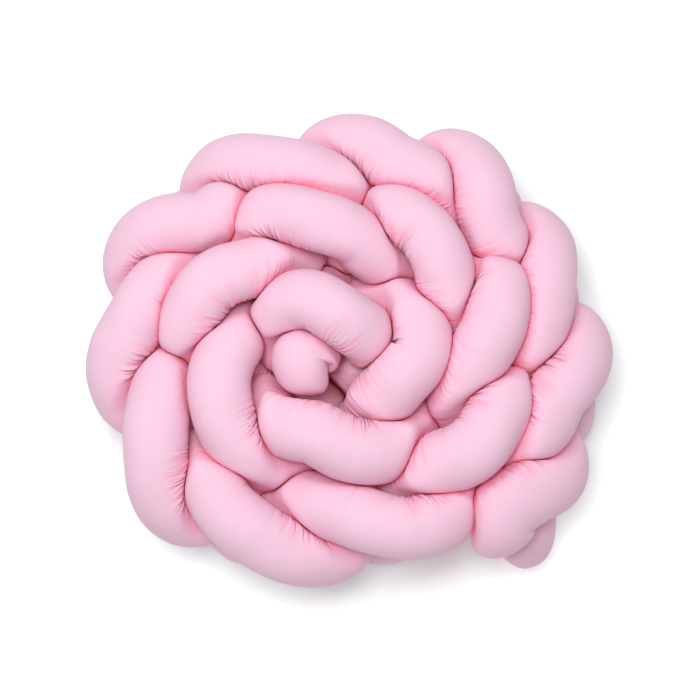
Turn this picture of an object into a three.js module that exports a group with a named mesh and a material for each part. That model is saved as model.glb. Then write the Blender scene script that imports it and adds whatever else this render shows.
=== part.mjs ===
// Plaited cot bumper, rolled up on its edge: three long stuffed cloth tubes in a flat
// three-strand plait, wound into a coil. Millimetres, +Z up, standing on z = 0.
import * as THREE from "three";

// Driving dimensions.
const tubeRadius = 33; // a stuffed tube where nothing presses on it
const floorMiddle = 27; // height of a tube's middle where the plait's lower edge lies on the floor
const pressedApart = 50; // distance between the middles of two tubes that press on each other
const seamGap = 2.3; // space between the pressed faces of two tubes, less where their facets bulge
const upperKeeps = 0.22; // how much of its round shape the upper of two tubes keeps, the lower gives way
const mostKept = 0.2;
const eyeTaper = 42; // length over which a tube's sewn end is drawn in at the coil's eye
const endTaper = 52; // and at its outer end
const endPoint = 5; // radius of the drawn-in tip
const coilMiddle = { east: 5.2, north: -7.1 }; // the table's zero, from the middle of the footprint
const clothColour = 0xf7c4de; // pale pink cotton

// How finely the tubes are drawn.
const sides = 14;
const ringStep = 17;
const pressStep = 8; // spacing of the points that a neighbour's tube is felt by

// The plait's upper edge: one row for each tube that crosses over it, from the coil's eye outwards.
// east and north place the crossing, crest is the height of the tube's middle there, swing is how
// far the tube leans to the plait's two faces beside it, tuck is how far the plait's lower edge
// stands inside its upper edge, girth is the tube's share of the full radius, and lap is the angle
// by which its height lags and its lean leads, so that it lies on the next tube.
const crossings = [
  { east: -40, north: -70, crest: 196, swing: 0, tuck: 18, girth: 0.8, lap: 0.14 },
  { east: -54, north: -12, crest: 140, swing: -7, tuck: 18, girth: 0.9, lap: 0.14 },
  { east: -34, north: 49, crest: 160, swing: 19, tuck: 8, girth: 0.94, lap: 0.1 },
  { east: 77, north: -10, crest: 143, swing: 24, tuck: 0, girth: 1, lap: 0.38 },
  { east: -22, north: -101, crest: 150, swing: 30, tuck: 5, girth: 1, lap: 0.14 },
  { east: -139, north: -39, crest: 147, swing: 18, tuck: 0, girth: 0.98, lap: 0.05 },
  { east: -140, north: 75, crest: 150, swing: 19, tuck: 0, girth: 0.95, lap: 0.05 },
  { east: -36, north: 139, crest: 150, swing: 18, tuck: 0, girth: 0.93, lap: 0.2 },
  { east: 90, north: 110, crest: 148, swing: 23, tuck: 3, girth: 0.93, lap: 0.2 },
  { east: 142, north: 19, crest: 149, swing: 22, tuck: 5, girth: 1, lap: 0.05 },
  { east: 125, north: -98, crest: 145, swing: 17, tuck: 15, girth: 1, lap: 0 },
  { east: 38, north: -174, crest: 142, swing: 20, tuck: 23, girth: 0.97, lap: -0.12 },
  { east: -113, north: -179, crest: 133, swing: 13, tuck: 39, girth: 1, lap: 0.18 },
  { east: -202, north: -95, crest: 140, swing: 12, tuck: 38, girth: 1, lap: 0.14 },
  { east: -216, north: 44, crest: 132, swing: 22, tuck: 33, girth: 0.97, lap: 0.14 },
  { east: -178, north: 129, crest: 126, swing: 17, tuck: 27, girth: 0.93, lap: 0.14 },
  { east: -65, north: 186, crest: 135, swing: 18, tuck: 26, girth: 0.97, lap: 0.05 },
  { east: 50, north: 184, crest: 126, swing: 18, tuck: 26, girth: 0.97, lap: 0.05 },
  { east: 130, north: 152, crest: 132, swing: 9, tuck: 31, girth: 0.97, lap: 0.14 },
  { east: 190, north: 53, crest: 131, swing: 17, tuck: 28, girth: 0.97, lap: 0.22 },
  { east: 201, north: -44, crest: 128, swing: 22, tuck: 14, girth: 0.98, lap: 0.14 },
  { east: 146, north: -149, crest: 126, swing: -6, tuck: 13, girth: 1.07, lap: 0.2 },
  { east: 108, north: -178, crest: 122, swing: 0, tuck: 0, girth: 1.15, lap: 0.1 },
];
const firstCrossing = 1; // the row of tube_1's first crossing, after the run-in row

// Where each tube begins and ends, counted in rows, how far its last end stands out of the plait, and
// how far its first end curls into the coil's eye.
const tubeSpans = [
  { name: "tube_1", from: 0.58, to: 20.9, flare: 0, curl: 0 },
  { name: "tube_2", from: 0.1, to: 21.3, flare: 82, curl: 0 },
  { name: "tube_3", from: 0.62, to: 21.66, flare: 0, curl: 44 },
];
const flareRows = 0.7; // the part of a tube's last end that turns out
const curlRows = 1; // the part of its first end that curls in

const upperEdge = new THREE.CatmullRomCurve3(
  crossings.map((row) => new THREE.Vector3(row.east, row.north, row.crest)),
  false,
  "catmullrom",
  0.5,
);

// A column of the table at a fraction of a row.
function between(column, at) {
  const row = Math.min(Math.floor(at), crossings.length - 2);
  return THREE.MathUtils.lerp(crossings[row][column], crossings[row + 1][column], at - row);
}

// A point on a tube's middle line before the tubes press on each other. A tube crosses the upper
// edge every third row, from the outer face to the inner one, and the lower edge half-way between.
function plaitPoint(tube, at) {
  const share = at / (crossings.length - 1);
  const edge = upperEdge.getPoint(share);
  const along = upperEdge.getTangent(share).setZ(0).normalize();
  const outward = new THREE.Vector3(-along.y, along.x, 0);
  const phase = (2 * Math.PI * (at - firstCrossing - tube)) / tubeSpans.length;
  const lap = between("lap", at);
  const raised = (1 + Math.cos(phase - lap)) / 2;
  const { from, to, flare, curl } = tubeSpans[tube];
  const turnedOut = flare * THREE.MathUtils.smoothstep(at, to - flareRows, to);
  const turnedIn = curl * (1 - THREE.MathUtils.smoothstep(at, from, from + curlRows));
  const sway = between("swing", at) * Math.sin(2 * (phase + lap));
  const aside = turnedOut - turnedIn - sway - between("tuck", at) * (1 - raised);
  return edge
    .addScaledVector(outward, aside)
    .setZ(THREE.MathUtils.lerp(floorMiddle, edge.z, raised));
}

const lineNodes = 160;
const lines = tubeSpans.map(({ from, to }, tube) =>
  Array.from({ length: lineNodes }, (_, i) =>
    plaitPoint(tube, THREE.MathUtils.lerp(from, to, i / (lineNodes - 1))),
  ),
);

// Lets the tubes push each other aside, while each keeps near its place in the plait.
function settle() {
  const rounds = 60;
  const ownNodes = 5; // neighbours on the same line that don't push
  const push = 0.18;
  const longestMove = 3;
  const straighten = 0.12;
  const homing = 0.06;
  const home = lines.map((line) => line.map((p) => p.clone()));
  const nodes = lines.flatMap((line, tube) => line.map((p) => ({ p, tube })));
  for (let round = 0; round < rounds; round++) {
    const moves = nodes.map(() => new THREE.Vector3());
    nodes.forEach((a, m) => {
      for (let n = m + 1; n < nodes.length; n++) {
        const b = nodes[n];
        const apart = a.p.distanceTo(b.p);
        if (apart >= pressedApart || (a.tube === b.tube && n - m < ownNodes)) continue;
        const away = a.p.clone().sub(b.p).multiplyScalar((push * (pressedApart - apart)) / apart);
        moves[m].add(away);
        moves[n].sub(away);
      }
    });
    nodes.forEach((node, m) => node.p.add(moves[m].clampLength(0, longestMove)));
    lines.forEach((line, tube) => {
      const old = line.map((p) => p.clone());
      line.forEach((p, i) => {
        if (i > 0 && i < lineNodes - 1) {
          p.lerp(old[i - 1].clone().lerp(old[i + 1], 0.5), straighten);
        }
        p.lerp(home[tube][i], homing);
        p.z = Math.max(p.z, floorMiddle);
      });
    });
  }
}

// Evenly spaced points along a line, about one step apart.
function spaced(line, step) {
  const curve = new THREE.CatmullRomCurve3(line, false, "catmullrom", 0.5);
  curve.arcLengthDivisions = 6 * line.length;
  const count = Math.round(curve.getLength() / step);
  return Array.from({ length: count + 1 }, (_, i) => curve.getPointAt(i / count));
}

// Cross-section axes at each point, carried along the line without twisting.
function sectionFrames(line) {
  let across = new THREE.Vector3(0, 0, 1);
  return line.map((middle, i) => {
    const before = line[Math.max(i - 1, 0)];
    const after = line[Math.min(i + 1, line.length - 1)];
    const along = after.clone().sub(before).normalize();
    across = across.clone().addScaledVector(along, -across.dot(along)).normalize();
    const bend = before.clone().add(after).addScaledVector(middle, -2).divideScalar(ringStep ** 2);
    return { middle, across, up: new THREE.Vector3().crossVectors(along, across), bend };
  });
}

// How far a section can reach each way before it meets the planes on which it presses on its
// neighbours, the floor, or the inside of its own bend.
function reaches(frame, tube, distance, pressPoints) {
  const feltWithin = 2.6 * tubeRadius;
  const ownLength = 110;
  const tightestFold = 0.7;
  const grazing = 0.05;
  const planes = [];
  pressPoints.forEach((points, other) =>
    points.forEach((point, i) => {
      if (other === tube && Math.abs(i * pressStep - distance) < ownLength) return;
      const towards = point.clone().sub(frame.middle);
      const apart = towards.length();
      if (apart >= feltWithin) return;
      towards.divideScalar(apart);
      const kept = THREE.MathUtils.clamp(-upperKeeps * towards.z, -mostKept, mostKept);
      planes.push({ towards, at: (0.5 + kept) * apart - seamGap / 2 });
    }),
  );
  return Array.from({ length: sides }, (_, j) => {
    const turn = (2 * Math.PI * j) / sides;
    const way = new THREE.Vector3()
      .addScaledVector(frame.across, Math.cos(turn))
      .addScaledVector(frame.up, Math.sin(turn));
    const facing = planes
      .map((plane) => ({ slope: way.dot(plane.towards), at: plane.at }))
      .filter((plane) => plane.slope > grazing);
    const limits = facing.map((plane) => plane.at / plane.slope);
    if (way.z < -grazing) limits.push(frame.middle.z / -way.z);
    const curl = frame.bend.dot(way);
    if (curl > 0) limits.push(tightestFold / curl);
    return { way, limit: Math.min(...limits, feltWithin) };
  });
}

// The radius at which a pressed section still has the girth that the tube was sewn to.
function filledRadius(section, girth) {
  const slack = 0.985;
  const slackest = 0.7;
  const tightest = 1.22;
  const halvings = 14;
  const wanted = 2 * Math.PI * tubeRadius * girth * slack;
  let least = slackest * tubeRadius * girth;
  let most = tightest * tubeRadius * girth;
  for (let n = 0; n < halvings; n++) {
    const radius = (least + most) / 2;
    const rim = section.map(({ way, limit }) => way.clone().multiplyScalar(Math.min(limit, radius)));
    const around = rim.reduce((sum, p, j) => sum + p.distanceTo(rim[(j + 1) % sides]), 0);
    if (around < wanted) least = radius;
    else most = radius;
  }
  return least;
}

// Evens out the radii along and around a tube, never past their limits.
function soften(radii, sections) {
  const ownWeight = 4; // against one for each of the four radii beside it
  const last = radii.length - 1;
  return radii.map((ring, i) =>
    ring.map((radius, j) => {
      const along = radii[Math.max(i - 1, 0)][j] + radii[Math.min(i + 1, last)][j];
      const around = ring[(j + 1) % sides] + ring[(j + sides - 1) % sides];
      return Math.min(sections[i][j].limit, (ownWeight * radius + along + around) / (ownWeight + 4));
    }),
  );
}

// How far a tube's sewn end is drawn in, as a share of its radius, at a distance from its tip.
function endDraw(distance, taper) {
  const rest = 1 - Math.min(distance / taper, 1);
  return Math.max(Math.sqrt(1 - rest ** 2), endPoint / tubeRadius);
}

// A closed skin over rings of points, with a point at each end.
function skin(rings, firstTip, lastTip) {
  const points = [...rings.flat(), firstTip, lastTip];
  const firstIndex = rings.length * sides;
  const lastRing = firstIndex - sides;
  const triangles = [];
  for (let j = 0; j < sides; j++) {
    const next = (j + 1) % sides;
    for (let base = 0; base < lastRing; base += sides) {
      triangles.push(base + j, base + next, base + sides + j);
      triangles.push(base + next, base + sides + next, base + sides + j);
    }
    triangles.push(firstIndex, next, j, firstIndex + 1, lastRing + j, lastRing + next);
  }
  const geometry = new THREE.BufferGeometry().setFromPoints(points);
  geometry.setIndex(triangles);
  geometry.computeVertexNormals();
  return geometry;
}

// One stuffed tube, pressed by its neighbours and flat where it lies on the floor.
function stuffedTube(tube, pressPoints) {
  const softenings = 4;
  const line = spaced(lines[tube], ringStep);
  const frames = sectionFrames(line);
  const last = line.length - 1;
  const { from, to } = tubeSpans[tube];
  const sections = frames.map((frame, i) => reaches(frame, tube, i * ringStep, pressPoints));
  let radii = sections.map((section, i) => {
    const girth = between("girth", THREE.MathUtils.lerp(from, to, i / last));
    const radius = filledRadius(section, girth);
    return section.map(({ limit }) => Math.min(limit, radius));
  });
  for (let n = 0; n < softenings; n++) radii = soften(radii, sections);
  const rings = frames.map(({ middle }, i) => {
    const drawn = endDraw(i * ringStep, eyeTaper) * endDraw((last - i) * ringStep, endTaper);
    return sections[i].map(({ way }, j) => middle.clone().addScaledVector(way, radii[i][j] * drawn));
  });
  return skin(rings, line[0], line[last]);
}

settle();
const pressPoints = lines.map((line) => spaced(line, pressStep));
const bumper = new THREE.Group();
tubeSpans.forEach(({ name }, tube) => {
  const cloth = new THREE.MeshStandardMaterial({ color: clothColour, roughness: 0.85, metalness: 0 });
  const mesh = new THREE.Mesh(stuffedTube(tube, pressPoints), cloth);
  mesh.name = name;
  mesh.position.set(coilMiddle.east, coilMiddle.north, 0);
  bumper.add(mesh);
});

export default bumper;
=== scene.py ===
import math

import bpy
import numpy as np
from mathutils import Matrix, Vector


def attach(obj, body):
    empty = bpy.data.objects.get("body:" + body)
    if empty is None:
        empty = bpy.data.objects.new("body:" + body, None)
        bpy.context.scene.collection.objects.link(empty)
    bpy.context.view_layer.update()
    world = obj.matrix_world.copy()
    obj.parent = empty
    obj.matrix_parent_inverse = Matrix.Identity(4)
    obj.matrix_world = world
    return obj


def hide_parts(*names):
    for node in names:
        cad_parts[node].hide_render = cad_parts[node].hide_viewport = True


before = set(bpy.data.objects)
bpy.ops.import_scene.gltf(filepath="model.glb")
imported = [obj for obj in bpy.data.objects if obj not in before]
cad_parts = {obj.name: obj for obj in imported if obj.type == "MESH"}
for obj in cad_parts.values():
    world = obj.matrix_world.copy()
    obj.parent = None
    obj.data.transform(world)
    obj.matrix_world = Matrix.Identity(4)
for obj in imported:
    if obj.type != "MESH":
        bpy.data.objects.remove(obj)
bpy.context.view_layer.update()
scene = bpy.context.scene
mm = 0.001

# The plait, the same as the solids: one row for each tube that crosses the upper edge, eye first.
# East and north place the crossing, and crest is the height of the tube's middle there. Swing is how
# far the tube leans to the plait's two faces, tuck is how far the lower edge stands inside the upper
# one, girth is a share of the full radius, and lap is an angle that lays the tube on the next one.
plait = {
    "tubeRadius": 33,
    "floorMiddle": 27,  # a tube's middle where the lower edge lies on the floor
    "pressedApart": 50,  # middles of two tubes that press on each other
    "middle": (5.2, -7.1, 0),  # the table's zero in the frame
    "firstCrossing": 1,  # the first tube's first row, after the run-in
    "flareRows": 0.7,  # the part of a tube's last end that turns out
    "curlRows": 1,  # the part of its first end that curls in
    "nodes": 160,
    "columns": ("east", "north", "crest", "swing", "tuck", "girth", "lap"),
    "crossings": [
        (-40, -70, 196, 0, 18, 0.8, 0.14),
        (-54, -12, 140, -7, 18, 0.9, 0.14),
        (-34, 49, 160, 19, 8, 0.94, 0.1),
        (77, -10, 143, 24, 0, 1, 0.38),
        (-22, -101, 150, 30, 5, 1, 0.14),
        (-139, -39, 147, 18, 0, 0.98, 0.05),
        (-140, 75, 150, 19, 0, 0.95, 0.05),
        (-36, 139, 150, 18, 0, 0.93, 0.2),
        (90, 110, 148, 23, 3, 0.93, 0.2),
        (142, 19, 149, 22, 5, 1, 0.05),
        (125, -98, 145, 17, 15, 1, 0),
        (38, -174, 142, 20, 23, 0.97, -0.12),
        (-113, -179, 133, 13, 39, 1, 0.18),
        (-202, -95, 140, 12, 38, 1, 0.14),
        (-216, 44, 132, 22, 33, 0.97, 0.14),
        (-178, 129, 126, 17, 27, 0.93, 0.14),
        (-65, 186, 135, 18, 26, 0.97, 0.05),
        (50, 184, 126, 18, 26, 0.97, 0.05),
        (130, 152, 132, 9, 31, 0.97, 0.14),
        (190, 53, 131, 17, 28, 0.97, 0.22),
        (201, -44, 128, 22, 14, 0.98, 0.14),
        (146, -149, 126, -6, 13, 1.07, 0.2),
        (108, -178, 122, 0, 0, 1.15, 0.1),
    ],
    "tubes": [  # node, first row, last row, flare of the outer end, curl of the inner end
        ("tube_1", 0.58, 20.9, 0, 0),
        ("tube_2", 0.1, 21.3, 82, 0),
        ("tube_3", 0.62, 21.66, 0, 44),
    ],
}


def deselectAll():
    for thing in bpy.context.selected_objects:
        thing.select_set(False)


def smoothStep(value, low, high):
    share = np.clip((value - low) / (high - low), 0, 1)
    return share * share * (3 - 2 * share)


def wrapped(angle):  # between minus half a turn and half a turn
    return (angle + np.pi) % (2 * np.pi) - np.pi


def turnsOf(sides):  # angles around a section
    return 2 * np.pi * np.arange(sides) / sides


def splineAt(points, at):  # uniform Catmull-Rom through rows of points, at fractions of a row
    points = np.asarray(points, float)
    at = np.clip(np.asarray(at, float), 0, len(points) - 1)
    ends = np.concatenate([[2 * points[0] - points[1]], points, [2 * points[-1] - points[-2]]])
    row = np.minimum(at.astype(int), len(points) - 2)
    share = (at - row).reshape(-1, *[1] * (points.ndim - 1))
    a, b, c, d = ends[row], ends[row + 1], ends[row + 2], ends[row + 3]
    leave, arrive = (c - a) / 2, (d - b) / 2
    return (
        b
        + leave * share
        + (3 * (c - b) - 2 * leave - arrive) * share**2
        + (2 * (b - c) + leave + arrive) * share**3
    )


def column(name, at):
    index = plait["columns"].index(name)
    values = [row[index] for row in plait["crossings"]]
    return np.interp(at, np.arange(len(values)), values)


upperEdge = np.array([row[:3] for row in plait["crossings"]], float)


def outwardAt(at):  # level direction to the coil's outside
    nudge = 0.002
    along = splineAt(upperEdge, at + nudge)[:, :2] - splineAt(upperEdge, at - nudge)[:, :2]
    along /= np.linalg.norm(along, axis=1)[:, None]
    return np.stack([-along[:, 1], along[:, 0]], axis=1)


def plaitPhase(tube, at):  # zero where the tube crosses the upper edge
    return 2 * np.pi * (at - plait["firstCrossing"] - tube) / len(plait["tubes"])


# Middle line of one tube before the tubes press on each other
def plaitLine(tube):
    first, last, flare, curl = plait["tubes"][tube][1:]
    at = np.linspace(first, last, plait["nodes"])
    phase = plaitPhase(tube, at)
    lap = column("lap", at)  # height lags and sway leads, so a tube lies on the next one
    raised = (1 + np.cos(phase - lap)) / 2
    turnedOut = flare * smoothStep(at, last - plait["flareRows"], last)
    turnedIn = curl * (1 - smoothStep(at, first, first + plait["curlRows"]))
    sway = column("swing", at) * np.sin(2 * (phase + lap))
    aside = turnedOut - turnedIn - sway - column("tuck", at) * (1 - raised)
    line = splineAt(upperEdge, at)
    line[:, :2] += outwardAt(at) * aside[:, None]
    line[:, 2] = plait["floorMiddle"] + (line[:, 2] - plait["floorMiddle"]) * raised
    return line


# The tubes push each other aside, while each keeps near its place in the plait
settling = {
    "rounds": 60,
    "ownNodes": 5,  # nodes of one tube that are nearer than this don't push
    "push": 0.18,
    "longestMove": 3,
    "straighten": 0.12,
    "homing": 0.06,
}


def settle(lines):
    count, room = plait["nodes"], plait["pressedApart"]
    home = np.concatenate(lines)
    nodes = home.copy()
    index = np.arange(len(nodes))
    sameTube = index[:, None] // count == index[None, :] // count
    tooNear = sameTube & (np.abs(index[:, None] - index[None, :]) < settling["ownNodes"])
    inner = index[(index % count > 0) & (index % count < count - 1)]
    for _ in range(settling["rounds"]):
        away = nodes[:, None] - nodes[None, :]
        apart = np.linalg.norm(away, axis=2)
        apart[tooNear] = room
        share = np.where(apart < room, settling["push"] * (room - apart) / apart, 0)
        moves = (away * share[:, :, None]).sum(axis=1)
        length = np.maximum(np.linalg.norm(moves, axis=1), 1e-9)
        nodes = nodes + moves * np.minimum(1, settling["longestMove"] / length)[:, None]
        between = (nodes[inner - 1] + nodes[inner + 1]) / 2
        nodes[inner] += (between - nodes[inner]) * settling["straighten"]
        nodes += (home - nodes) * settling["homing"]
        nodes[:, 2] = np.maximum(nodes[:, 2], plait["floorMiddle"])
    return [nodes[i * count:(i + 1) * count] for i in range(len(lines))]


def spaced(line, step):  # evenly spaced points along a line
    finer = 12
    fine = splineAt(line, np.linspace(0, len(line) - 1, finer * len(line)))
    run = np.concatenate([[0], np.cumsum(np.linalg.norm(np.diff(fine, axis=0), axis=1))])
    count = round(run[-1] / step)
    at = np.interp(np.linspace(0, run[-1], count + 1), run, np.arange(len(fine)))
    return splineAt(fine, at)


# One stuffed tube: how its skin is drawn and pressed
stuffing = {
    "sides": 50,
    "ringStep": 4,  # rings that the pressing is worked out on
    "pressStep": 5,  # points that a neighbour's tube is felt by
    "bendReach": 16,  # the line's bend is taken over this length each way
    "seamGap": 0.3,  # left between two pressed faces
    "upperKeeps": 0.22,  # how much more of its round shape the upper of two tubes keeps
    "mostKept": 0.2,
    "feltWithin": 86,
    "ownLength": 110,  # a tube doesn't press on itself within this length
    "grazing": 0.05,  # a neighbour this far to the side of a way doesn't stop it
    "tightestFold": 0.7,
    "slack": 0.985,
    "roundShare": (0.7, 1.22),  # least and most radius of a pressed section's round part
    "halvings": 14,
    "softenings": 4,
    "gapBlurs": 4,
    "eyeTaper": 42,
    "endTaper": 52,
    "endPoint": 5,
    "fineRings": 1970,
    "showsAbove": (78, 100),
    "hiddenShare": 0.28,  # ring density low inside the coil, against one where it shows
    "fill": 0.85,
    "uvMap": "alongAround",
}


# Cross-section axes carried along without twisting, and the bend of the line
def sectionFrames(line, step):
    index, end = np.arange(len(line)), len(line) - 1
    along = line[np.minimum(index + 1, end)] - line[np.maximum(index - 1, 0)]
    along /= np.linalg.norm(along, axis=1)[:, None]
    reach = round(stuffing["bendReach"] / step)
    before, after = line[np.maximum(index - reach, 0)], line[np.minimum(index + reach, end)]
    bend = (before + after - 2 * line) / (reach * step) ** 2
    across = np.zeros_like(line)
    carried = np.array([0.0, 0.0, 1.0])
    for i, way in enumerate(along):
        carried = carried - way * carried.dot(way)
        carried /= np.linalg.norm(carried)
        across[i] = carried
    return across, np.cross(along, across), bend


def awayAlong(points, ring):  # points of a tube's own line that are far enough along it from a ring
    run = np.arange(len(points)) * stuffing["pressStep"]
    return np.abs(run - ring * stuffing["ringStep"]) >= stuffing["ownLength"]


# How far a section reaches each way before it meets a neighbour, the floor or its own fold
def sectionLimits(line, ways, bend, tube, pressPoints):
    grazing, mostKept = stuffing["grazing"], stuffing["mostKept"]
    limits = np.full(ways.shape[:2], float(stuffing["feltWithin"]))
    for i, middle in enumerate(line):
        towards, apart, above = [], [], []
        for other, points in enumerate(pressPoints):
            toPoint = points - middle
            distance = np.linalg.norm(toPoint, axis=1)
            felt = distance < stuffing["feltWithin"]
            if other == tube:
                felt &= awayAlong(points, i)
            towards.append(toPoint[felt] / distance[felt, None])
            apart.append(distance[felt])
            above.append(-toPoint[felt, 2])
        towards, apart, above = (np.concatenate(found) for found in (towards, apart, above))
        kept = np.clip(stuffing["upperKeeps"] * above / apart, -mostKept, mostKept)
        half = (0.5 + kept) * apart - stuffing["seamGap"] / 2
        slope = ways[i] @ towards.T
        reach = np.where(slope > grazing, half / np.maximum(slope, grazing), np.inf)
        limits[i] = np.minimum(limits[i], reach.min(axis=1, initial=np.inf))
    down = -ways[:, :, 2]
    floorReach = np.where(down > grazing, line[:, 2][:, None] / np.maximum(down, grazing), np.inf)
    curl = np.einsum("ijk,ik->ij", ways, bend)
    foldReach = np.where(curl > 0, stuffing["tightestFold"] / np.maximum(curl, 1e-6), np.inf)
    return np.minimum(limits, np.minimum(floorReach, foldReach)), curl


# The radius at which a pressed section still has the girth that the tube was sewn to
def filledRadius(ways, limits, girth):
    wanted = 2 * np.pi * plait["tubeRadius"] * girth * stuffing["slack"]
    least, most = (share * plait["tubeRadius"] * girth for share in stuffing["roundShare"])
    for _ in range(stuffing["halvings"]):
        radius = (least + most) / 2
        rim = ways * np.minimum(limits, radius[:, None])[:, :, None]
        around = np.linalg.norm(rim - np.roll(rim, -1, axis=1), axis=2).sum(axis=1)
        short = around < wanted
        least, most = np.where(short, radius, least), np.where(short, most, radius)
    return least


# Distance of each skin point from the skins of the tubes beside it, below zero where they press
def gapsOf(points, girth, tube, pressPoints):
    gaps = np.full(points.shape[:2], float(stuffing["feltWithin"]))
    for i, ring in enumerate(points):
        for other, middles in enumerate(pressPoints):
            felt = np.abs(middles - ring.mean(axis=0)).max(axis=1) < stuffing["feltWithin"]
            if other == tube:
                felt &= awayAlong(middles, i)
            if felt.any():
                apart = np.linalg.norm(ring[:, None] - middles[felt][None, :], axis=2).min(axis=1)
                gaps[i] = np.minimum(gaps[i], apart - plait["tubeRadius"] * girth[i])
    for _ in range(stuffing["gapBlurs"]):
        gaps[1:-1] = (gaps[:-2] + 2 * gaps[1:-1] + gaps[2:]) / 4
        gaps = (np.roll(gaps, 1, axis=1) + 2 * gaps + np.roll(gaps, -1, axis=1)) / 4
    return gaps


def soften(radii, limits):
    ownWeight, neighbours = 4, 4
    for _ in range(stuffing["softenings"]):
        along = np.concatenate([radii[:1], radii[:-1]]) + np.concatenate([radii[1:], radii[-1:]])
        around = np.roll(radii, 1, axis=1) + np.roll(radii, -1, axis=1)
        radii = np.minimum(limits, (ownWeight * radii + along + around) / (ownWeight + neighbours))
    return radii


def endDraw(distance, taper):
    rest = 1 - np.minimum(distance / taper, 1)
    return np.maximum(np.sqrt(1 - rest**2), stuffing["endPoint"] / plait["tubeRadius"])


# The pressed skin of one tube on its working rings
def pressedSkin(tube, lines, pressPoints):
    step = stuffing["ringStep"]
    line = spaced(lines[tube], step)
    across, up, bend = sectionFrames(line, step)
    turn = turnsOf(stuffing["sides"])
    ways = across[:, None] * np.cos(turn)[None, :, None] + up[:, None] * np.sin(turn)[None, :, None]
    limits, curl = sectionLimits(line, ways, bend, tube, pressPoints)
    first, last = plait["tubes"][tube][1:3]
    rows = np.linspace(first, last, len(line))
    girth = column("girth", rows)
    radii = np.minimum(limits, filledRadius(ways, limits, girth)[:, None])
    radii = soften(radii, limits)
    run = np.arange(len(line)) * step
    drawn = endDraw(run, stuffing["eyeTaper"]) * endDraw(run[-1] - run, stuffing["endTaper"])
    points = line[:, None] + ways * (radii * drawn[:, None])[:, :, None]
    return {
        "line": line,
        "rows": rows,
        "run": run,
        "points": points,
        "gap": gapsOf(points, girth, tube, pressPoints),
        "curl": curl * radii,
        "free": limits - radii,
        "inward": -(ways[:, :, :2] * outwardAt(rows)[:, None]).sum(axis=2),
    }


# Rings close together where the tube shows, further apart low inside the coil
def fineRings(skin):
    shows = smoothStep(skin["line"][:, 2], *stuffing["showsAbove"])
    density = stuffing["hiddenShare"] + (1 - stuffing["hiddenShare"]) * shows
    filled = np.concatenate([[0], np.cumsum((density[1:] + density[:-1]) / 2)])
    at = np.interp(np.linspace(0, filled[-1], stuffing["fineRings"]), filled, np.arange(len(filled)))
    fine = {key: splineAt(skin[key], at) for key in ("points", "curl", "free", "inward", "gap")}
    for key in ("run", "rows"):
        fine[key] = np.interp(at, np.arange(len(filled)), skin[key])
    return fine


def normalsOf(points):
    along = np.gradient(points, axis=0)
    around = (np.roll(points, -1, axis=1) - np.roll(points, 1, axis=1)) / 2
    normals = np.cross(around, along)
    normals /= np.maximum(np.linalg.norm(normals, axis=2), 1e-9)[:, :, None]
    middle = points.mean(axis=1, keepdims=True)
    outward = np.sign(((points - middle) * normals).sum(axis=(1, 2)))
    return normals * outward[:, None, None]


# Gathers: short creases across a tube, along the line where its inner side touches a neighbour
gathers = {
    "pitch": (3.4, 7),
    "width": (1, 1.7),
    "shortLength": (10, 30),  # how far they run out from the touching line
    "shortDepth": (0.9, 2.3),
    "longShare": 0.4,  # shallow long ones
    "longLength": (32, 65),
    "longDepth": (0.7, 1.5),
    "deepest": 1.6,
    "sharpness": 1.5,
    "slant": 1.8,
    "wiggle": 0.9,
    "wiggles": 4,
    "puff": 0.3,  # the cloth swells beside a crease
    "puffWidth": 2.3,
    "shade": 1.2,
    "within": 16,  # rings this near a crease are moved by it
    "fromEnds": 20,
    "tightest": 0.6,  # creases spread out in a tight bend, up to this one
    "touching": 3,  # closer than this to the next tube's skin, a tube touches
    "bend": (0.1, 0.45),  # no gathers to full gathers, by how tightly the tube bends
    "innerSide": (0, 0.45),  # and by how far the skin faces into the coil
    "pastCrest": (-0.5, 1),  # and by where the tube is in the plait
    "pastCrestShare": 0.4,
    "beforeCrestMore": 0.9,
    "strength": 0.85,  # they come and go along the tube
    "strengthSwing": 0.45,
    "strengthWaves": (150, 45, 4),
    "strengthLimits": (0.35, 1.4),
    "seed": 7,
}

# Filling: soft lumps where the skin is free, and folds at the drawn-in ends
filling = {
    "lumps": 7,
    "lumpLength": (45, 130),
    "mostAround": 4,
    "unevenness": 0.7,
    "lumpScale": 3,  # about the height that so many lumps add up to
    "freeBy": (0.5, 6),
    "mostOfRoom": 0.6,
    "tipFolds": 9,
    "tipDepth": 1.6,
    "tipUneven": 0.6,
    "tipReach": 12,
    "tipStart": 4,
}

# Painted shade: where the cloth's colour is made deeper and redder to stand in for shade and the pink light
# bounced in folds, on and beside touching lines and low inside the coil
paintedShade = {
    "pressed": 0.6,
    "pressedWidth": 1.1,
    "nearby": 1.14,
    "nearbyWidth": 3.4,
    "nearbyLess": 0.14,
    "sunkBelow": (90, 142),
    "insideCoil": (160, 215),
    "eye": (50, 100),
    "eyeShare": 0.3,
    "sunkShade": 0.8,
    "wrinkleReach": 15,
}


def wavySum(rng, at, longest, shortest, count):  # smooth unevenness along a length, about -1 to 1
    total = np.zeros_like(at)
    for _ in range(count):
        wave = rng.uniform(shortest, longest)
        total += np.sin(2 * np.pi * at / wave + rng.uniform(0, 2 * np.pi))
    return total / math.sqrt(count)


def touchReach(gap):  # distance around the tube from where it touches a neighbour
    farAway = 999.0
    sides = gap.shape[1]
    arc = 2 * np.pi * plait["tubeRadius"] / sides
    reach = np.where(gap < gathers["touching"], 0.0, farAway)
    for _ in range(sides // 2):
        beside = np.minimum(np.roll(reach, 1, axis=1), np.roll(reach, -1, axis=1))
        reach = np.minimum(reach, beside + arc)
    return reach


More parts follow.
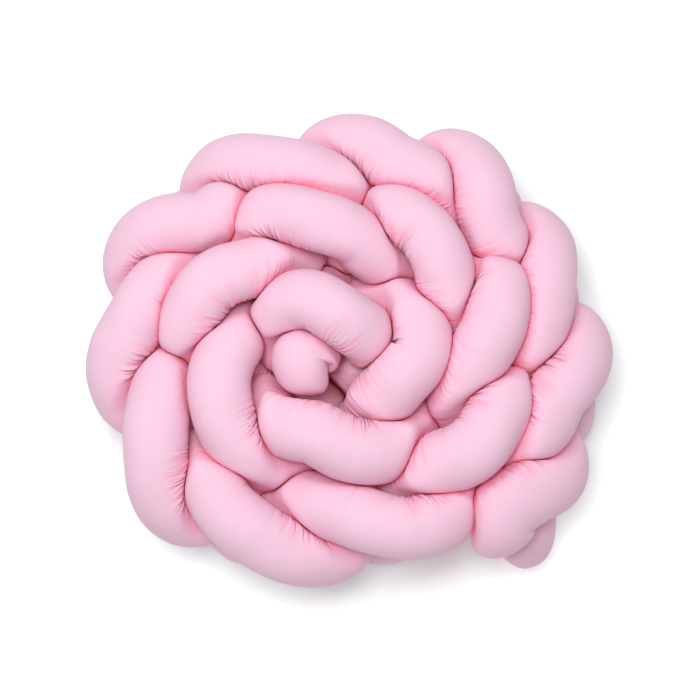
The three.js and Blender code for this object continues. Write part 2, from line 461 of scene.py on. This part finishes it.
def squeezedOf(fine, tube):  # where the cloth is pushed together
    phase = wrapped(plaitPhase(tube, fine["rows"]))
    before = 1 - smoothStep(phase, *gathers["pastCrest"])
    share = gathers["pastCrestShare"] + gathers["beforeCrestMore"] * before
    inside = smoothStep(fine["inward"], *gathers["innerSide"]) * share[:, None]
    return np.maximum(smoothStep(fine["curl"], *gathers["bend"]), inside)


# One crease after another along the tube: how far each moves the skin, and how much it shades it
def creases(rng, fine, reach, squeezed, strength):
    curl, run = fine["curl"], fine["run"]
    turn = turnsOf(curl.shape[1])
    depth, shade = np.zeros_like(curl), np.zeros_like(curl)
    place = gathers["fromEnds"]
    while place < run[-1] - gathers["fromEnds"]:
        ring = int(np.searchsorted(run, place))
        inner = int(np.argmax(fine["inward"][ring]))
        tight = float(np.clip(curl[ring, inner], 0, gathers["tightest"]))
        kind = "long" if rng.random() < gathers["longShare"] else "short"
        length = rng.uniform(*gathers[kind + "Length"])
        deep = rng.uniform(*gathers[kind + "Depth"]) * strength[ring]
        width = rng.uniform(*gathers["width"]) / (1 - tight)
        slant = rng.normal(0, gathers["slant"])
        wiggle = rng.normal(0, gathers["wiggle"])
        near = slice(*np.searchsorted(run, (place - gathers["within"], place + gathers["within"])))
        turned = wrapped(turn - turn[inner])[None, :]
        offset = run[near][:, None] - place - slant * turned - wiggle * np.sin(gathers["wiggles"] * turned)
        groove = np.exp(-np.abs(offset / width) ** gathers["sharpness"])
        puff = gathers["puff"] * np.exp(-((offset / (gathers["puffWidth"] * width)) ** 2))
        fade = np.clip(1 - reach[near] / length, 0, 1) * squeezed[near]
        depth[near] -= deep * (groove - puff) * fade
        dark = np.minimum(1, gathers["shade"] * np.sqrt(groove) * fade * deep)
        shade[near] = np.maximum(shade[near], dark)
        place += rng.uniform(*gathers["pitch"]) / (1 - tight)
    return gathers["deepest"] * np.tanh(depth / gathers["deepest"]), shade


def softLumps(rng, fine):
    run, turn = fine["run"][:, None], turnsOf(fine["curl"].shape[1])[None, :]
    lumps = np.zeros_like(fine["curl"])
    for _ in range(filling["lumps"]):
        wave, around = rng.uniform(*filling["lumpLength"]), rng.integers(0, filling["mostAround"])
        lumps += np.sin(2 * np.pi * run / wave + around * turn + rng.uniform(0, 2 * np.pi))
    return filling["unevenness"] * lumps / filling["lumpScale"] * smoothStep(fine["free"], *filling["freeBy"])


def tipFolds(fine):
    run, turn = fine["run"], turnsOf(fine["curl"].shape[1])
    fromEnd = np.minimum(run, run[-1] - run)
    folds = np.abs(np.sin(filling["tipFolds"] * turn / 2 + filling["tipUneven"] * np.sin(3 * turn)))
    drawn = np.exp(-fromEnd / filling["tipReach"]) * (1 - np.exp(-fromEnd / filling["tipStart"]))
    return filling["tipDepth"] * (1 - folds)[None, :] ** 2 * drawn[:, None]


def gatheredSkin(fine, tube):
    rng = np.random.default_rng(gathers["seed"] + tube)
    reach, squeezed = touchReach(fine["gap"]), squeezedOf(fine, tube)
    swing = gathers["strengthSwing"] * wavySum(rng, fine["run"], *gathers["strengthWaves"])
    strength = np.clip(gathers["strength"] + swing, *gathers["strengthLimits"])
    depth, shade = creases(rng, fine, reach, squeezed, strength)
    depth += softLumps(rng, fine)
    room = np.maximum(fine["free"], 0) * filling["mostOfRoom"]
    depth = np.where(depth > 0, np.minimum(depth, room), depth)  # stays clear of its neighbours
    depth -= tipFolds(fine)
    points = fine["points"] + normalsOf(fine["points"]) * depth[:, :, None]
    points[:, :, 2] = np.maximum(points[:, :, 2], 0)
    fine["points"] = points

    # Painted shade with reddish bounce light: a deeper, redder colour beside touching lines and low inside
    # the coil, less in the eye
    gap = np.maximum(fine["gap"], 0)
    nearby = paintedShade["nearby"] * np.exp(-np.sqrt(gap) / paintedShade["nearbyWidth"]) - paintedShade["nearbyLess"]
    fromMiddle = np.linalg.norm(points[:, :, :2], axis=2)
    low = 1 - smoothStep(points[:, :, 2], *paintedShade["sunkBelow"])
    sunk = low * (1 - smoothStep(fromMiddle, *paintedShade["insideCoil"]))
    sunk *= paintedShade["eyeShare"] + (1 - paintedShade["eyeShare"]) * smoothStep(fromMiddle, *paintedShade["eye"])
    # painted shade: a deep red colour right on the lines where the tubes touch
    fine["pressed"] = paintedShade["pressed"] * np.exp(-((gap / paintedShade["pressedWidth"]) ** 2))
    fine["paintedBounce"] = np.maximum(np.maximum(nearby, 0), sunk)
    # painted shade: a darker fold colour in the gather grooves and low inside the coil
    fine["shade"] = np.maximum(shade, paintedShade["sunkShade"] * sunk)
    fine["wrinkled"] = squeezed * np.exp(-reach / paintedShade["wrinkleReach"]) * np.clip(strength, 0, 1)[:, None]
    return fine


def tubeFaces(rings, sides):  # four-sided faces around each ring, closed by a fan at each tip
    faces = []
    for i in range(rings - 1):
        for j in range(sides):
            k = (j + 1) % sides
            faces.append((i * sides + j, i * sides + k, (i + 1) * sides + k, (i + 1) * sides + j))
    firstTip = rings * sides
    lastRing = firstTip - sides
    for j in range(sides):
        k = (j + 1) % sides
        faces.append((firstTip, k, j))
        faces.append((firstTip + 1, lastRing + j, lastRing + k))
    return faces


def mapTube(mesh, faces, run, sides):  # UVs in metres, along the tube and around it
    uv = mesh.uv_layers.new(name=stuffing["uvMap"])
    corner = np.zeros(len(mesh.loops), np.int32)
    mesh.loops.foreach_get("vertex_index", corner)
    lengthAt = np.concatenate([np.repeat(run, sides), [run[0], run[-1]]]) * mm
    aroundAt = np.concatenate([np.tile(np.arange(sides), len(run)), [0, 0]]) / sides
    side = aroundAt[corner]
    faceIndex = np.repeat(np.arange(len(faces)), [len(face) for face in faces])
    furthest = np.zeros(len(faces))
    np.maximum.at(furthest, faceIndex, side)
    pastSeam = (furthest[faceIndex] > 0.9) & (side < 0.1)  # the last face of a ring runs on
    side = np.where(pastSeam, side + 1, side)
    girth = 2 * np.pi * plait["tubeRadius"] * mm
    places = np.stack([lengthAt[corner], side * girth], axis=1)
    uv.data.foreach_set("uv", places.astype(np.float32).ravel())


def buildTube(name, fine):
    points = (fine["points"] + np.array(plait["middle"])) * mm
    rings, sides = points.shape[:2]
    tips = [points[0].mean(axis=0), points[-1].mean(axis=0)]
    vertices = np.concatenate([points.reshape(-1, 3), tips])
    faces = tubeFaces(rings, sides)
    mesh = bpy.data.meshes.new(name)
    mesh.from_pydata(vertices.tolist(), [], faces)
    mesh.shade_smooth()
    piece = bpy.data.objects.new(name, mesh)
    scene.collection.objects.link(piece)
    mapTube(mesh, faces, fine["run"], sides)
    for key in ("shade", "pressed", "paintedBounce", "wrinkled"):
        layer = mesh.attributes.new(key, "FLOAT", "POINT")
        layer.data.foreach_set("value", np.concatenate([fine[key].ravel(), [0, 0]]).astype(np.float32))
    return piece


def setInputs(tree, node, inputs):  # each a number, a colour or another node's output
    for name, value in inputs.items():
        if isinstance(value, bpy.types.NodeSocket):
            tree.links.new(value, node.inputs[name])
        else:
            node.inputs[name].default_value = value


def addNode(tree, kind, inputs, **options):
    node = tree.nodes.new(kind)
    for name, value in options.items():
        setattr(node, name, value)
    setInputs(tree, node, inputs)
    return node


def noiseOf(tree, vector, scale, detail):
    inputs = {"Vector": vector, "Scale": scale, "Detail": detail}
    return addNode(tree, "ShaderNodeTexNoise", inputs).outputs["Fac"]


def stretched(tree, vector, scale):
    return addNode(tree, "ShaderNodeMapping", {"Vector": vector, "Scale": scale}).outputs["Vector"]


def mixed(tree, factor, first, second):
    inputs = {"Factor": factor, "A": first, "B": second}
    return addNode(tree, "ShaderNodeMix", inputs, data_type="RGBA").outputs["Result"]


def attributeOf(tree, name):
    return addNode(tree, "ShaderNodeAttribute", {}, attribute_name=name).outputs["Fac"]


def product(tree, first, second):
    return addNode(tree, "ShaderNodeMath", {0: first, 1: second}, operation="MULTIPLY").outputs["Value"]


def rangeOf(tree, value, low, high, lowTo, highTo):
    inputs = {"Value": value, "From Min": low, "From Max": high, "To Min": lowTo, "To Max": highTo}
    return addNode(tree, "ShaderNodeMapRange", inputs).outputs["Result"]


def valleysOf(tree, noise):  # sharp creases where the noise crosses its middle
    signed = rangeOf(tree, noise, 0.25, 0.75, -1, 1)
    return addNode(tree, "ShaderNodeMath", {0: signed}, operation="ABSOLUTE").outputs["Value"]


def bumped(tree, height, strength, distance, below=None):
    inputs = {"Height": height, "Strength": strength, "Distance": distance}
    if below:
        inputs["Normal"] = below
    return addNode(tree, "ShaderNodeBump", inputs).outputs["Normal"]


# Pale pink cotton, plain woven
cotton = {
    "pink": (0.81, 0.545, 0.68, 1),
    "deepPink": (0.79, 0.505, 0.64, 1),
    # painted shade with reddish bounce light, beside touching lines and low inside the coil
    "bounceColour": (0.92, 0.5, 0.645, 1),
    # painted shade in gather grooves, wrinkle valleys and hollows
    "fold": (0.89, 0.445, 0.59, 1),
    # painted shade right on the touching lines
    "crease": (0.97, 0.42, 0.56, 1),
    "roughness": 0.9,
    "specular": 0.15,
    "sheen": 0.06,
    "sheenRoughness": 0.5,
    "sheenTint": (1, 0.93, 0.97, 1),
    "dyeAMetre": 14,
    "wrinklesAMetre": (210, 22, 1),  # along the tube and around it
    "wrinkleWidth": 0.22,
    "wrinkleShadeStrength": 0.5,
    "wrinkleBump": (1, 0.003),  # strength and depth
    "slackAMetre": (60, 20, 1),
    "slackBump": (0.6, 0.003),
    "weaveAMetre": 1400,
    "weaveBump": (0.2, 0.0003),
}


def cottonMaterial():
    material = bpy.data.materials.new("pinkCotton")
    material.use_nodes = True
    tree = material.node_tree
    uv = addNode(tree, "ShaderNodeUVMap", {}, uv_map=stuffing["uvMap"]).outputs["UV"]

    # short wrinkles across the tube near the touching lines
    wrinkled = attributeOf(tree, "wrinkled")
    valleys = valleysOf(tree, noiseOf(tree, stretched(tree, uv, cotton["wrinklesAMetre"]), 1, 1))
    # painted shade: a deeper colour along the wrinkle valleys
    wrinkleShade = rangeOf(tree, valleys, 0, cotton["wrinkleWidth"], cotton["wrinkleShadeStrength"], 0)

    # colour: a little uneven dye, then painted shade with reddish bounce light, deeper in the creases, low
    # inside the coil and where tubes press
    dye = noiseOf(tree, uv, cotton["dyeAMetre"], 2)
    colour = mixed(tree, dye, cotton["pink"], cotton["deepPink"])
    colour = mixed(tree, attributeOf(tree, "paintedBounce"), colour, cotton["bounceColour"])
    colour = mixed(tree, attributeOf(tree, "shade"), colour, cotton["fold"])
    colour = mixed(tree, product(tree, wrinkleShade, wrinkled), colour, cotton["fold"])
    colour = mixed(tree, attributeOf(tree, "pressed"), colour, cotton["crease"])

    # surface: wrinkles, then slack cloth, then the weave
    normal = bumped(tree, product(tree, valleys, wrinkled), *cotton["wrinkleBump"])
    slack = noiseOf(tree, stretched(tree, uv, cotton["slackAMetre"]), 1, 1)
    normal = bumped(tree, slack, *cotton["slackBump"], normal)
    weave = noiseOf(tree, uv, cotton["weaveAMetre"], 1)
    normal = bumped(tree, weave, *cotton["weaveBump"], normal)

    setInputs(tree, tree.nodes["Principled BSDF"], {
        "Base Color": colour,
        "Normal": normal,
        "Roughness": cotton["roughness"],
        "Specular IOR Level": cotton["specular"],
        "Sheen Weight": cotton["sheen"],
        "Sheen Roughness": cotton["sheenRoughness"],
        "Sheen Tint": cotton["sheenTint"],
    })
    return material


# Build the three tubes
lines = settle([plaitLine(tube) for tube in range(len(plait["tubes"]))])
print("plait settled")
pressPoints = [spaced(line, stuffing["pressStep"]) for line in lines]
cloth = cottonMaterial()
for tube, row in enumerate(plait["tubes"]):
    node = row[0]
    skin = pressedSkin(tube, lines, pressPoints)
    fine = gatheredSkin(fineRings(skin), tube)
    piece = buildTube("stuffedTube%d" % (tube + 1), fine)
    piece.data.materials.append(cloth)
    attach(piece, "root")
    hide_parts(node)
    print(piece.name, len(piece.data.polygons), "faces")

# Floor, lights and camera
studio = {
    "floorSize": 12,
    "floorColour": (0.81, 0.87, 0.855, 1),
    "floorRoughness": 0.9,
    "paintedUnderShade": (0.6, 0.2, 0.29, 1),  # painted shade with the cloth's pink bounce light: the floor inside the coil is dark pink
    "underCoil": (0.12, 0.16),
    "paintedFloorGlow": (0.14, 0.42),  # painted light: the floor glows though it is no lamp, less beside the coil and more away from it, so the far part of the coil's shadow turns white
    "besideCoil": (0.25, 0.3),
    "oval": (0.91, 1, 0),  # the coil is wider than deep
    "white": (1, 1, 1, 1),
    "world": 0.4,
    "target": (0.0012, -0.0061, 0.14),
    "elevation": 85,
    "distance": 1.4,
    "sensor": 36,
    "lens": 72,
    "bounces": 12,  # light that goes back and forth in the folds
    "lamps": [  # name, place, size, watts
        ("softBox", (-0.3, 0.5, 1.55), 1.2, 9),
        ("overheadLamp", (-0.13, 0.05, 1.6), 0.45, 11.6),
    ],
}


def floorMaterial():
    material = bpy.data.materials.new("paleFloor")
    material.use_nodes = True
    tree = material.node_tree
    onFloor = addNode(tree, "ShaderNodeTexCoord", {}).outputs["Object"]
    oval = stretched(tree, onFloor, studio["oval"])
    fromMiddle = addNode(tree, "ShaderNodeVectorMath", {0: oval}, operation="LENGTH").outputs["Value"]
    outside = rangeOf(tree, fromMiddle, *studio["underCoil"], 0, 1)
    # painted light: the floor's glow rises from beside the coil to away from it
    paintedGlow = rangeOf(tree, fromMiddle, *studio["besideCoil"], *studio["paintedFloorGlow"])
    setInputs(tree, tree.nodes["Principled BSDF"], {
        "Base Color": mixed(tree, outside, studio["paintedUnderShade"], studio["floorColour"]),
        "Roughness": studio["floorRoughness"],
        "Emission Color": studio["white"],
        "Emission Strength": product(tree, paintedGlow, outside),
    })
    return material


deselectAll()
bpy.ops.mesh.primitive_plane_add(size=studio["floorSize"], location=(0, 0, 0))
floor = bpy.context.object
floor.name = "floor"
floor.data.materials.append(floorMaterial())

world = bpy.data.worlds.new("studio")
scene.world = world
world.use_nodes = True
sky = {"Color": studio["white"], "Strength": studio["world"]}
setInputs(world.node_tree, world.node_tree.nodes["Background"], sky)

target = Vector(studio["target"])
for name, place, size, watts in studio["lamps"]:
    bpy.ops.object.light_add(type="AREA", location=place)
    lamp = bpy.context.object
    lamp.name = name
    lamp.data.size = size
    lamp.data.energy = watts
    lamp.rotation_euler = (target - Vector(place)).to_track_quat("-Z", "Y").to_euler()

rise = math.radians(studio["elevation"])
eye = target + Vector((0, -math.cos(rise), math.sin(rise))) * studio["distance"]
bpy.ops.object.camera_add(location=eye, rotation=(target - eye).to_track_quat("-Z", "Y").to_euler())
camera = bpy.context.object
camera.data.sensor_width = studio["sensor"]
camera.data.lens = studio["lens"]
scene.camera = camera
scene.view_settings.view_transform = "Standard"
scene.cycles.diffuse_bounces = studio["bounces"]
print("studio ready")
